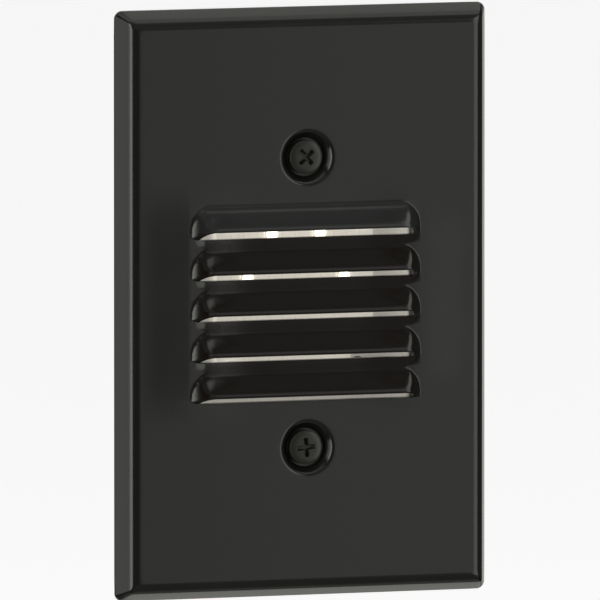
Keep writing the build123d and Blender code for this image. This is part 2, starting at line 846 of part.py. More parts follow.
sub_parts = {
    "face_plate": face_plate(),
    "face_screws": face_screws(),
    "wall_gasket": wall_gasket(),
    "lens_gasket": lens_gasket(),
    "lens": lens(),
    "mounting_strap": mounting_strap(),
    "strap_rivets": strap_rivets(),
    "light_tray": light_tray(),
    "thermal_pad": thermal_pad(),
    "led_board": led_board(),
    "led_chips": led_chips(),
    "board_screws": board_screws(),
    "board_connector": board_connector(),
    "lead_positive": led_lead(lead_heights()[0]),
    "lead_negative": led_lead(lead_heights()[1]),
    "lead_bush": lead_bush(),
    "driver_housing": driver_housing(),
    "housing_screws": housing_screws(),
    "driver_board": driver_board(),
    "driver_screws": driver_screws(),
    "transformer_core": transformer_core(),
    "transformer_coil": transformer_coil(),
    "bulk_capacitor": can_on_driver(bulk_radius, bulk_height, bulk_place),
    "output_capacitor": can_on_driver(output_radius, output_height, output_place),
    "filter_choke": can_on_driver(choke_radius, choke_height, choke_place),
    "film_capacitor": on_driver(film_size, film_place),
    "surge_varistor": surge_varistor(),
    "input_fuse": input_fuse(),
    "bridge_rectifier": on_driver(rectifier_size, rectifier_place),
    "driver_chip": on_driver(chip_size, chip_place),
    "driver_plug": driver_plug(),
    "cover_gasket": cover_gasket(),
    "rear_cover": rear_cover(),
    "cover_screws": cover_screws(),
    "supply_grommet": supply_grommet(),
    "ground_screw": ground_screw(),
}

os.makedirs("parts", exist_ok=True)
for name, part in sub_parts.items():
    save(part, name)
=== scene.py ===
# Louvred step light: the looks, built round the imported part.
# Metres, +Z up, the lit face looks along -Y, the wall plane is y = 0.
import bpy
import bmesh
import json
import math
import numpy as np
from mathutils import Matrix, Vector


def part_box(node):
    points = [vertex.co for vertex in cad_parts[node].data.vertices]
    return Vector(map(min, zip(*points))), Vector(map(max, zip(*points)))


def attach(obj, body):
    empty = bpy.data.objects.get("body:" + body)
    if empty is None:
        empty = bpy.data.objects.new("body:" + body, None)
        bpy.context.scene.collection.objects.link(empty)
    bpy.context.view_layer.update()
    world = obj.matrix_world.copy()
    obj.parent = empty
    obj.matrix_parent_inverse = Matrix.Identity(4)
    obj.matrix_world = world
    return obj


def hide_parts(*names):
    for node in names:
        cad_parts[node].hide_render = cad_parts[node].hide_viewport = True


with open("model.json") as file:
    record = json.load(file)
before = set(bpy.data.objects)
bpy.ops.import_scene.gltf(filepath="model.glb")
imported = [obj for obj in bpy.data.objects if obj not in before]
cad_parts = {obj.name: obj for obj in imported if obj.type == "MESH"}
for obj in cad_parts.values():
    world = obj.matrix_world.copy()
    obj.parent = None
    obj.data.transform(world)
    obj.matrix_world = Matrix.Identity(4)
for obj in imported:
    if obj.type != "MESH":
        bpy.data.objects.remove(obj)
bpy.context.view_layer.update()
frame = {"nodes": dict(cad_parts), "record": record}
mm = 0.001  # shapes are worked out in millimetres and made in metres
hair = 1e-6  # slack where a place is tested against a grid line, in millimetres
print("frame loaded,", len(frame["nodes"]), "nodes")


def lines(*runs):
    # grid lines: each run is (start, end, steps), and a run starts where the last one ended
    parts = [np.linspace(start, end, steps, endpoint=False) for start, end, steps in runs]
    return np.concatenate(parts + [[runs[-1][1]]])


def smooth(value, start, end):
    # 0 before the start, 1 after the end, and 3s^2 - 2s^3 of the share s between them
    share = np.clip((value - start) / (end - start), 0, 1)
    return share * share * (3 - 2 * share)


def patch(points, wrap=False):
    # quads between neighbouring rows and columns of a grid of points; wrap also joins the
    # last column to the first
    rows, columns = points.shape[:2]
    index = np.arange(rows * columns).reshape(rows, columns)
    if wrap:
        index = np.hstack([index, index[:, :1]])
    quads = np.stack([index[:-1, :-1], index[:-1, 1:], index[1:, 1:], index[1:, :-1]], -1)
    return points.reshape(-1, 3), quads.reshape(-1, 4)


def weld(pieces):
    # many patches as one list of points and quads; points that round to the same
    # ten-thousandth of a millimetre become one
    points, quads, count = [], [], 0
    for some, faces in pieces:
        points.append(some)
        quads.append(faces + count)
        count += len(some)
    points, quads = np.concatenate(points), np.concatenate(quads)
    keys = np.round(points * 1e4).astype(np.int64)
    first, inverse = np.unique(keys, axis=0, return_index=True, return_inverse=True)[1:]
    return points[first], inverse.reshape(-1)[quads]


def shell(name, pieces, sharp):
    # patches in millimetres made an object in metres: faces outward, and smooth wherever
    # neighbouring faces turn by less than the sharp angle in degrees
    points, quads = weld(pieces)
    mesh = bpy.data.meshes.new(name)
    mesh.from_pydata((points * mm).tolist(), [], quads.tolist())
    body = bmesh.new()
    body.from_mesh(mesh)
    bmesh.ops.dissolve_degenerate(body, dist=1e-8, edges=body.edges)
    bmesh.ops.recalc_face_normals(body, faces=body.faces)
    openEdges = sum(1 for edge in body.edges if not edge.is_manifold)
    body.to_mesh(mesh)
    body.free()
    mesh.shade_smooth()
    mesh.set_sharp_from_angle(angle=math.radians(sharp))
    piece = bpy.data.objects.new(name, mesh)
    bpy.context.scene.collection.objects.link(piece)
    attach(piece, "root")
    print(name, len(mesh.polygons), "faces, open edges", openEdges)
    return piece


plate = {
    "halfWidth": 40.75,
    "halfHeight": 61.2,
    "face": 5.0,  # wall plane to face
    "skinBack": 3.0,  # wall plane to the pocket behind the face
    "gasketSeat": 1.2,
    "rimWall": 2.4,
    "landEdge": 0.65,  # square edge against the wall
    "flankAngle": 28.0,
    "shoulderRounds": (3.4, 2.3),  # wide at the face, tighter towards the flank
    "shoulderTurn": 29.0,  # angle at which the wide round gives way to the tight one
    "shoulderSteps": 8,  # points on each of the two rounds
    "shoulderCorner": 0.9,  # corner radius of the outline there
    "flatStation": (4.6, 0.6),  # last of the flat face: inset and corner radius
    # flank, edge and back edge as (inset, distance from the wall plane, corner radius)
    "edgeStations": (
        (0.9, 2.343, 1.3),
        (0.35, 1.31, 1.6),
        (0.12, 0.86, 1.7),
        (0.02, 0.66, 1.8),
        (0.0, 0.5, 1.8),
        (0.0, 0.2, 1.8),
        (0.06, 0.06, 1.8),
        (0.2, 0.0, 1.7),
    ),
    "pocketCorner": 1.4,
    "gridHalf": (33.35, 51.9),  # flat field of the face and of the pocket behind it
    "fieldEdge": 1.2,  # closer grid lines run along the field's edge
    "sharp": 32,
}
hoods = {
    "lips": (15.10, 6.25, -2.26, -10.80, -19.35),  # heights from the plate's middle
    "gaps": (1.50, 1.19, 1.15, 1.08, 0.97),  # sill of each mouth below its lip
    "height": 6.0,  # lip to root
    "halfWidth": 25.75,
    "rightEnd": 24.85,  # the right ends stand a little nearer
    "corner": 5.6,
    # tilt of a hood's top in degrees against the distance below its root: the first hood has
    # a steep foot, the others rise out of the channels between them
    "topTilts": (
        ((0, 0), (0.8, 15), (1.6, 36), (1.95, 34), (2.5, 24), (4.8, 22.2)),
        ((0, 0), (0.8, 12), (1.6, 25), (2.4, 25), (4.8, 25)),
    ),
    "lipTilts": ((5.2, 0), (5.56, -4), (5.8, -35), (6.0, -82)),  # upright land and turn under
    "endTilts": ((0, 0), (0.22, 38), (0.36, 42), (0.56, 30), (2.6, 31), (4.2, 25), (60, 24)),
    "blend": 8.0,  # higher is a crisper turn from the top to the ends
    "hollowTilt": 23.2,
    "hollowFlank": 1.4,  # slope of the hollow's ends, as rise over run
    "lipBack": 0.75,  # inner edge of the lip in front of the face
    "climbFrom": 0.5,  # share of a mouth's side at which its inner edge starts forward
    "mouthHalf": 23.9,
    "mouthDraws": (3.0, 1.1),  # how far the upper corners are drawn in, left and right
    "mouthReach": 0.35,  # how much further the right end reaches
    "mouthCurve": 1.5,
    "mouthFade": 4.0,  # height above the lip over which the drawing in is lost
    "sillRound": 0.12,
    "sillFade": 0.5,
    # the lower edge of each end is swept up towards the outside
    "footLift": 0.55,
    "footCurve": 1.6,
    "footReach": (2.2, 1.2),  # above and below the sill
    # the strip between two hoods is a shallow channel from the sill above to the next root
    "channelTilt": 12.0,
    "channelJoin": 0.64,
    "channelEnds": (22.4, 25.0),
    # punching has bowed the plate out a little beside the hoods
    "bowOuter": 36.1,
    "bowTilts": ((0, 0), (0.9, 2.5), (9.4, 2.5), (10.6, 0), (60, 0)),
    "bowInner": (12.0, 24.5),
    "bowEnds": (13.0, 28.0),
    "bowHidden": (1.0, 4.5),  # distances inside a hood's outline over which the bow is lost
    # grid: columns crowd between the second and the third place, and move only between the
    # first and the third; rows stand at these distances from a root
    "columnPlaces": (18.0, 21.0, 26.4, 29.0),
    "rootRow": 0.3,  # above it, the others below
    "footRow": 2.6,
    "lipRows": (4.8, 4.95, 5.08, 5.22, 5.4, 5.56, 5.66, 5.74, 5.81, 5.87, 5.92, 5.965, 6.0),
    "sillRows": (0.1, 0.3, 0.6, 1.0),  # shares of the sill's round
}
dishes = {
    "heights": (30.15, -30.15),
    "patchHalf": 8.0,  # a dish lies in a square of the grid
    "patchSteps": 24,
    "flatRings": (7.4, 7.0),
    "rim": 5.49,
    "rimRound": 1.3,
    "rimSteps": 10,
    "floor": 4.12,
    "floorRing": 3.2,
    "depth": 1.88,
    "footRound": 0.5,
    "footSteps": 6,
    "hole": 2.07,
    "boss": 5.4,
}


def tiltRise(distance, tilts):
    # height at a distance from the foot: the sum of the tangents of the tilts along the way
    steps = np.linspace(0, 30, 6001)
    places, angles = np.array(tilts, float).T
    slope = np.tan(np.radians(np.interp(steps, places, angles)))
    heights = np.concatenate([[0], np.cumsum((slope[1:] + slope[:-1]) / 2 * np.diff(steps))])
    return np.interp(distance, steps, heights)


def topRise(below, i):
    # height of hood i's top at a distance below its root
    tilts = hoods["topTilts"][min(i, 1)] + hoods["lipTilts"]
    return tiltRise(np.clip(below, 0, hoods["height"]), tilts)


def channelDrop(x, z):
    # depth of the channels: a straight climb to the join with the root, less the root's rise
    drop = np.zeros_like(z)
    join, climb = hoods["channelJoin"], math.tan(math.radians(hoods["channelTilt"]))
    for i in range(1, len(hoods["lips"])):
        sill = hoods["lips"][i - 1] - hoods["gaps"][i - 1]
        below = hoods["lips"][i] + hoods["height"] - z
        straight = (below - join) * climb + topRise(join, i)
        inChannel = (z < sill + hair) & (below < join)
        drop = np.where(inChannel, straight - topRise(below, i), drop)
    return np.minimum(drop, 0) * (1 - smooth(np.abs(x), *hoods["channelEnds"]))


def bowRise(x, z):
    # a low mound beside each end of the hoods: its tilts summed inward from the outer edge,
    # times a smooth step across and one up
    height = tiltRise(np.maximum(hoods["bowOuter"] - np.abs(x), 0), hoods["bowTilts"])
    across, along = smooth(np.abs(x), *hoods["bowInner"]), smooth(np.abs(z), *hoods["bowEnds"])
    return height * across * (1 - along)


def mouthDraw(x, z, lip, gap):
    # how far a mouth's side edge is drawn in: 1 - (1 - s^c)^(1/c) of the share s of the way
    # from sill to lip, lost again above the lip
    share, bend = np.clip((z - (lip - gap)) / gap, 0, 1), hoods["mouthCurve"]
    drawn = 1 - (1 - share**bend) ** (1 / bend)
    left, right = hoods["mouthDraws"]
    fade = np.clip(1 - (z - lip) / hoods["mouthFade"], 0, 1)
    return np.where(x < 0, left * drawn, right * drawn - hoods["mouthReach"]) * fade


def frontRise(x, z):
    # height of the front above the flat face: each hood is the soft minimum of its top and
    # its ends, (top^-p + ends^-p)^(-1/p), and channels and bow are added to it
    thin = 1e-4  # keeps the powers finite
    power, corner, sillRound = hoods["blend"], hoods["corner"], hoods["sillRound"]
    side = np.where(x < 0, hoods["halfWidth"], hoods["rightEnd"]) - np.abs(x)
    across = np.clip((hoods["mouthHalf"] - np.abs(x)) / hoods["sillFade"], 0, 1)
    rise, hidden = np.zeros_like(x), np.zeros_like(x)
    for i, (lip, gap) in enumerate(zip(hoods["lips"], hoods["gaps"])):
        sill, below = lip - gap, lip + hoods["height"] - z
        inCorner = (side < corner) & (below < corner)
        reach = corner - np.hypot(corner - side, corner - below)
        inward = np.where(inCorner, reach, np.minimum(side, below))
        under = topRise(hoods["height"], i) * np.clip((z - sill) / gap, 0, 1)
        top = np.where(below > hoods["height"], under, topRise(below, i))
        ends = tiltRise(np.maximum(inward, 0), hoods["endTilts"])
        both = np.maximum(top, thin) ** -power + np.maximum(ends, thin) ** -power
        inside = (inward > 0) & (z > sill - hair)
        rise = np.where(inside, np.maximum(both ** (-1 / power) - thin, 0), rise)
        hidden = np.where(inside, smooth(inward, *hoods["bowHidden"]), hidden)
        # the sill's edge is broken by a small round
        drop = np.clip(sill - z, 0, sillRound)
        turn = sillRound - np.sqrt(np.maximum(2 * drop * sillRound - drop**2, 0))
        onSill = (z < sill + hair) & (z > sill - sillRound - hair)
        rise = np.where(onSill, -turn * across, rise)
    return rise + channelDrop(x, z) + bowRise(x, z) * (1 - hidden)


def backRise(x, z):
    # the pocket's floor, and behind each hood a hollow: a straight slope up from the lip that
    # falls away past the mouth's side edges
    flat = plate["skinBack"] - plate["face"]
    rise = np.full_like(x, flat)
    tilt, climbFrom = math.tan(math.radians(hoods["hollowTilt"])), hoods["climbFrom"]
    for lip, gap in zip(hoods["lips"], hoods["gaps"]):
        sill = lip - gap
        climb = np.clip(((z - sill) / gap - climbFrom) / (1 - climbFrom), 0, 1) ** 2
        edgeRise = flat + (hoods["lipBack"] - flat) * climb
        edgeRise = np.where(z > lip, hoods["lipBack"] - (z - lip) * tilt, edgeRise)
        edge = hoods["mouthHalf"] - mouthDraw(x, z, lip, gap)
        away = np.maximum(np.abs(x) - edge, 0)
        inside = (z > sill + hair) & (z < lip + hoods["height"])
        hollow = np.maximum(edgeRise - away * hoods["hollowFlank"], flat)
        rise = np.where(inside, hollow, rise)
    return rise


def gridLines():
    # columns crowd at the hoods' ends and in the dishes, rows crowd on every hood
    halfX, halfZ = plate["gridHalf"]
    edge, end = plate["fieldEdge"], hoods["mouthHalf"]
    half, steps = dishes["patchHalf"], dishes["patchSteps"]
    first, crowded, outer, quiet = hoods["columnPlaces"]
    right = lines(
        (half, first, 5),
        (first, crowded, 4),
        (crowded, end, 15),
        (end, outer, 22),
        (outer, quiet, 3),
        (quiet, halfX - edge, 2),
        (halfX - edge, halfX, 4),
    )
    columns = np.concatenate([-right[::-1], lines((-half, half, steps))[1:-1], right])
    high, low = dishes["heights"]
    rows = [halfZ]
    rows += list(lines((halfZ, halfZ - edge, 4), (halfZ - edge, high + half, 4))[1:-1])
    rows += list(lines((high + half, high - half, steps)))
    lipRows, sillRows = np.array(hoods["lipRows"]), np.array(hoods["sillRows"])
    for lip, gap in zip(hoods["lips"], hoods["gaps"]):
        root = lip + hoods["height"]
        foot = root - hoods["footRow"]
        rows += [root + hoods["rootRow"]]
        rows += list(lines((root, foot, 14), (foot, root - lipRows[0], 5))[:-1])
        rows += list(root - lipRows)
        rows += list(lines((lip, lip - gap, 7))[1:])
        rows += list(lip - gap - hoods["sillRound"] * sillRows)
    rows += list(lines((low + half, low - half, steps)))
    rows += list(lines((low - half, edge - halfZ, 4), (edge - halfZ, -halfZ, 4))[1:])
    return columns, np.array(rows)


def bentColumns(x, z):
    # columns near the mouths are drawn in with the mouths' rounded upper corners, most at the
    # mouth's end and evenly less on both sides of it
    shift = np.zeros_like(x)
    for lip, gap in zip(hoods["lips"], hoods["gaps"]):
        near = (z > lip - gap) & (z < lip + hoods["mouthFade"])
        shift = np.where(near, mouthDraw(x, z, lip, gap), shift)
    away, end = np.abs(x), hoods["mouthHalf"]
    first, crowded, outer, quiet = hoods["columnPlaces"]
    weight = np.where(away < end, (away - first) / (end - first), (outer - away) / (outer - end))
    return x - np.sign(x) * shift * np.clip(weight, 0, 1)


def bentRows(x, z):
    # rows at the lower edge of each hood's ends are lifted: a power of the way out from the
    # mouth to the hood's end, then evenly back to nothing, and less above and below the sill
    start, end, quiet = hoods["mouthHalf"], hoods["halfWidth"], hoods["columnPlaces"][3]
    above, under = hoods["footReach"]
    away, shift = np.abs(x), np.zeros_like(x)
    rising = np.clip((away - start) / (end - start), 0, 1) ** hoods["footCurve"]
    fading = np.clip((quiet - away) / (quiet - end), 0, 1)
    for lip, gap in zip(hoods["lips"], hoods["gaps"]):
        sill = lip - gap
        near = np.where(z > sill, 1 - (z - sill) / above, 1 - (sill - z) / under)
        shift += hoods["footLift"] * np.minimum(rising, fading) * np.clip(near, 0, 1)
    return z + shift


def gridLoop(xs, zs):
    # the places round a rectangle of grid lines, clockwise from its upper left corner
    top = np.stack([xs, np.full_like(xs, zs[0])], 1)
    right = np.stack([np.full_like(zs, xs[-1]), zs], 1)
    bottom = np.stack([xs[::-1], np.full_like(xs, zs[-1])], 1)
    left = np.stack([np.full_like(zs, xs[0]), zs[::-1]], 1)
    return np.concatenate([top[:-1], right[:-1], bottom[:-1], left[:-1]])


def station(x, depth, z):
    # one loop of points at a distance in front of the wall plane
    return np.stack([x, np.zeros(len(x)) - depth, z], 1)


def roundedLoop(loop, halfX, halfZ, radius):
    # a loop on the grid's rectangle moved out to another rectangle, its corners turned by the
    # radius: a point past both straight sides goes to the corner's circle
    baseX, baseZ = plate["gridHalf"]
    x, z = loop[:, 0] * halfX / baseX, loop[:, 1] * halfZ / baseZ
    overX, overZ = np.abs(x) - (halfX - radius), np.abs(z) - (halfZ - radius)
    inCorner = (overX > 0) & (overZ > 0)
    length = np.maximum(np.hypot(overX, overZ), 1e-9)
    turnedX = np.sign(x) * (halfX - radius + radius * overX / length)
    turnedZ = np.sign(z) * (halfZ - radius + radius * overZ / length)
    return np.where(inCorner, turnedX, x), np.where(inCorner, turnedZ, z)


def rimPieces(columns, rows):
    # the rim's section carried round: flat field, shoulder of two arcs, flank, edge, pocket
    face, seat = plate["face"], plate["gasketSeat"]
    tilt = math.radians(90 - plate["flankAngle"])
    wide, tight = plate["shoulderRounds"]
    turn, steps = math.radians(plate["shoulderTurn"]), plate["shoulderSteps"]
    angles = np.concatenate([np.linspace(0, turn, steps), np.linspace(turn, tilt, steps)[1:]])
    first, second = np.minimum(angles, turn), np.maximum(angles, turn)
    across = wide * np.sin(first) + tight * (np.sin(second) - math.sin(turn))
    depths = face - wide * (1 - np.cos(first)) - tight * (math.cos(turn) - np.cos(second))
    insets = (depths[-1] - plate["landEdge"]) / math.tan(tilt) + across[-1] - across
    inset, radius = plate["flatStation"]
    section = [(inset, inset, face, radius)]
    section += [(i, i, depth, plate["shoulderCorner"]) for i, depth in zip(insets, depths)]
    section += [(i, i, depth, radius) for i, depth, radius in plate["edgeStations"]]
    wall, corner = plate["rimWall"], plate["pocketCorner"]
    pocketX = plate["halfWidth"] - plate["gridHalf"][0]
    pocketZ = plate["halfHeight"] - plate["gridHalf"][1]
    section += [(wall, wall, 0, corner), (wall, wall, seat, corner), (pocketX, pocketZ, seat, 0)]
    loop = gridLoop(columns, rows)
    stations = [station(loop[:, 0], face + bowRise(loop[:, 0], loop[:, 1]), loop[:, 1])]
    for insetX, insetZ, depth, radius in section:
        halfX, halfZ = plate["halfWidth"] - insetX, plate["halfHeight"] - insetZ
        x, z = roundedLoop(loop, halfX, halfZ, max(radius, hair))
        stations.append(station(x, depth, z))
    stations.append(station(loop[:, 0], plate["skinBack"], loop[:, 1]))
    return [patch(np.array(stations), wrap=True)]


def dishPieces(columns, rows, centre):
    # rings from the square round the dish over its rim's arc and its wall to the floor's arc,
    # then through the hole to the boss behind
    half = dishes["patchHalf"] + hair
    loop = gridLoop(columns[np.abs(columns) < half], rows[np.abs(rows - centre) < half])
    angle = np.arctan2(loop[:, 1] - centre, loop[:, 0])
    face, skin, seat = plate["face"], plate["skinBack"], plate["gasketSeat"]
    floor, hole, boss = face - dishes["depth"], dishes["hole"], dishes["boss"]
    tilt = math.atan2(dishes["depth"], dishes["rim"] - dishes["floor"])
    big, small = dishes["rimRound"], dishes["footRound"]
    section = [(radius, face) for radius in dishes["flatRings"]]
    start = dishes["rim"] + big * math.tan(tilt / 2)
    for turn in np.linspace(0, tilt, dishes["rimSteps"]):
        section.append((start - big * math.sin(turn), face - big * (1 - math.cos(turn))))
    foot = dishes["floor"] - small * math.tan(tilt / 2)
    for turn in np.linspace(tilt, 0, dishes["footSteps"]):
        section.append((foot + small * math.sin(turn), floor + small * (1 - math.cos(turn))))
    section += [(dishes["floorRing"], floor), (hole, floor), (hole, seat)]
    section += [(boss, seat), (boss, skin)]
    rings = [station(loop[:, 0], face, loop[:, 1])]
    for radius, depth in section:
        rings.append(station(radius * np.cos(angle), depth, centre + radius * np.sin(angle)))
    rings.append(station(loop[:, 0], skin, loop[:, 1]))
    return [patch(np.array(rings), wrap=True)]


def platePieces():
    # front and back are heights over one grid, left open at mouths and dishes, with walls
    # between the edges of the mouths
    columns, rows = gridLines()
    flatX, flatZ = np.meshgrid(columns, rows)
    x = bentColumns(flatX, flatZ)
    z = bentRows(x, flatZ)
    front = np.stack([x, -plate["face"] - frontRise(x, flatZ), z], -1)
    back = np.stack([x, -plate["face"] - backRise(x, flatZ), z], -1)
    keep = np.ones((len(rows) - 1, len(columns) - 1), bool)
    middleX, middleZ = (columns[:-1] + columns[1:]) / 2, (rows[:-1] + rows[1:]) / 2
    walls, mouth, half = [], hoods["mouthHalf"], dishes["patchHalf"]
    for lip, gap in zip(hoods["lips"], hoods["gaps"]):
        inMouth = (middleZ < lip) & (middleZ > lip - gap)
        keep &= ~(inMouth[:, None] & (np.abs(middleX) < mouth))
        inRows = np.where((rows < lip + hair) & (rows > lip - gap - hair))[0]
        inColumns = np.where(np.abs(columns) < mouth + hair)[0]
        column, row = gridLoop(inColumns, inRows).T
        walls.append(patch(np.stack([front[row, column], back[row, column]]), wrap=True))
    for centre in dishes["heights"]:
        keep &= ~((np.abs(middleZ - centre) < half)[:, None] & (np.abs(middleX) < half))
    pieces = []
    for points, quads in (patch(front), patch(back)):
        pieces.append((points, quads[keep.ravel()]))
    pieces += walls
    for centre in dishes["heights"]:
        pieces += dishPieces(columns, rows, centre)
    return pieces + rimPieces(columns, rows)


louvrePlate = shell("louvrePlate", platePieces(), plate["sharp"])
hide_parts("face_plate")

screws = {
    "heights": dishes["heights"],
    "turns": (42.0, 5.0),
    "seat": plate["face"] - dishes["depth"],  # wall plane to the dish's floor
    "headRadius": 3.55,
    "headHeight": 1.42,
    "rimHeight": 1.1,
    "crownCurve": 6,
    "headSteps": 81,
    # under the head: share of its outline, height above the seat
    "underStations": ((1.0, 0.95), (1.0, 0.12), (0.985, 0.0), (0.5, 0.0), (0.0, 0.0)),
    # the cross is two tapered bars whose wings run out into a cone at the centre
    "crossHalf": 2.05,
    "crossWidth": 1.0,
    "crossDepth": 1.36,
    "crossTaper": 0.55,
    "crossEdge": 0.3,  # distance over which a wing's side goes down
    "crossRise": 0.2,  # share of the depth that the wings lose towards their tips
    "coneRadius": 1.35,
    "coneTaper": 0.6,
    "coneInset": 0.28,
    "shank": 1.72,
    "length": 12.0,
    "pitch": 0.8,
    "threadDepth": 0.2,
    "threadGrid": (112, 40),  # rows along the thread, points round it
    "neck": (-0.3, 0.0, 0.3),  # rows before the thread, from inside the head
    "threadGrowth": 0.5,
    "threadFades": (1.2, 0.8),  # at the head and at the tip
    "tipLength": 0.7,
    "tip": ((0.55, 0.72), (0.2, 0.45), (0.05, 0.2), (0.0, 0.0)),  # distance to go, share of shank
    "sharp": 38,
}


def headTop(x, z):
    # a low crown over the disc, rim + (top - rim)(1 - r^6), less the cross
    radius = np.hypot(x, z)
    reach, half, taper = screws["crossHalf"], screws["crossWidth"] / 2, screws["crossTaper"]
    share = np.clip(radius / screws["headRadius"], 0, 1) ** screws["crownCurve"]
    crown = screws["rimHeight"] + (screws["headHeight"] - screws["rimHeight"]) * (1 - share)
    barOne = np.minimum(half - np.abs(z), (reach - np.abs(x)) * taper)
    barTwo = np.minimum(half - np.abs(x), (reach - np.abs(z)) * taper)
    cone = (screws["coneRadius"] - radius) * screws["coneTaper"] - screws["coneInset"]
    inside = np.maximum(np.maximum(barOne, barTwo), cone)
    rising = 1 - screws["crossRise"] * np.clip(radius / reach, 0, 1)
    return crown - smooth(inside, 0, screws["crossEdge"]) * screws["crossDepth"] * rising


def headPieces():
    # a square grid drawn to a disc, u sqrt(1 - v^2 / 2), with crown heights, and its underside
    radius, seat = screws["headRadius"], -screws["seat"]
    line = np.linspace(-1, 1, screws["headSteps"])
    u, v = np.meshgrid(line, line)
    x, z = u * np.sqrt(1 - v**2 / 2) * radius, v * np.sqrt(1 - u**2 / 2) * radius
    top = np.stack([x, seat - headTop(x, z), z], -1)
    loop = np.concatenate([top[0, :-1], top[:-1, -1], top[-1, :0:-1], top[:0:-1, 0]])
    under = [loop]
    for share, height in screws["underStations"]:
        under.append(loop * [share, 0, share] + [0, seat - height, 0])
    return [patch(top), patch(np.array(under), wrap=True)]


def shankPieces():
    # a round bar cut by a triangle wave of its length and angle, which fades at both ends
    rows, count = screws["threadGrid"]
    shank, end = screws["shank"], screws["length"] - screws["tipLength"]
    angle = np.linspace(0, 2 * math.pi, count, endpoint=False)
    neck, fades = screws["neck"], screws["threadFades"]
    along = np.concatenate([neck[:2], np.linspace(neck[2], end, rows)])[:, None]
    tooth = np.abs(((along / screws["pitch"] - angle / (2 * math.pi)) % 1) * 2 - 1)
    fade = np.clip(along / fades[0], 0, 1) * np.clip((end - along) / fades[1], 0, 1)
    growth = np.clip(along / screws["threadGrowth"], 0, 1)
    radii = shank - screws["threadDepth"] * growth * (1 - tooth * fade)
    tip = np.array(screws["tip"])
    point = shank * tip[:, 1:] * np.ones(count)
    radii = np.concatenate([np.zeros((1, count)), radii[1:2], radii[1:], point])
    along = np.concatenate([along[:1], along, screws["length"] - tip[:, :1]])
    depth = -screws["seat"] + along * np.ones(count)
    shape = np.stack([radii * np.cos(angle), depth, radii * np.sin(angle)], -1)
    return [patch(shape, wrap=True)]


def screwPieces(height, turn):
    # head and shank turned about the shank's axis and set in their dish
    c, s = math.cos(math.radians(turn)), math.sin(math.radians(turn))
    spin = np.array([[c, 0, -s], [0, 1, 0], [s, 0, c]])
    pieces = headPieces() + shankPieces()
    return [(points @ spin.T + [0, 0, height], quads) for points, quads in pieces]


upper, lower = zip(screws["heights"], screws["turns"])
pair = screwPieces(*upper) + screwPieces(*lower)
faceScrewPair = shell("faceScrewPair", pair, screws["sharp"])
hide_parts("face_screws")
print("meshes made")


class Wire:
    # a shader socket that sums can be written with; each sum adds its Math node
    def __init__(self, nodes, socket):
        self.nodes, self.socket = nodes, socket

    def maths(self, operation, first, second=None):
        return self.nodes.node("ShaderNodeMath", {"operation": operation}, {0: first, 1: second})

    def __add__(self, other):
        return self.maths("ADD", self, other)

    def __sub__(self, other):
        return self.maths("SUBTRACT", self, other)

    def __rsub__(self, other):
        return self.maths("SUBTRACT", other, self)

    def __mul__(self, other):
        return self.maths("MULTIPLY", self, other)

    def __truediv__(self, other):
        return self.maths("DIVIDE", self, other)

    def __rtruediv__(self, other):
        return self.maths("DIVIDE", other, self)

    def __pow__(self, other):
        return self.maths("POWER", self, other)

    __radd__ = __add__
    __rmul__ = __mul__

    def above(self, other):
        return self.maths("GREATER_THAN", self, other)

    def below(self, other):
        return self.maths("LESS_THAN", self, other)

    def least(self, other):
        return self.maths("MINIMUM", self, other)

    def most(self, other):
        return self.maths("MAXIMUM", self, other)

    def size(self):
        return self.maths("ABSOLUTE", self)


class Nodes:
    # the emptied node tree of a new material or world
    def __init__(self, block):
        block.use_nodes = True
        self.block, self.tree = block, block.node_tree
        self.tree.nodes.clear()

    def node(self, kind, settings=None, sockets=None, output=0):
        # adds a node: its settings first, then its sockets' values or links
        made = self.tree.nodes.new(kind)
        for key, value in (settings or {}).items():
            setattr(made, key, value)
        for key, value in (sockets or {}).items():
            if isinstance(value, Wire):
                self.tree.links.new(value.socket, made.inputs[key])
            elif value is not None:
                made.inputs[key].default_value = value
        return Wire(self, made.outputs[output]) if len(made.outputs) else None


def opaque(value):
    # a colour of three numbers with its alpha; anything else as it is
    return (*value, 1) if isinstance(value, tuple) else value


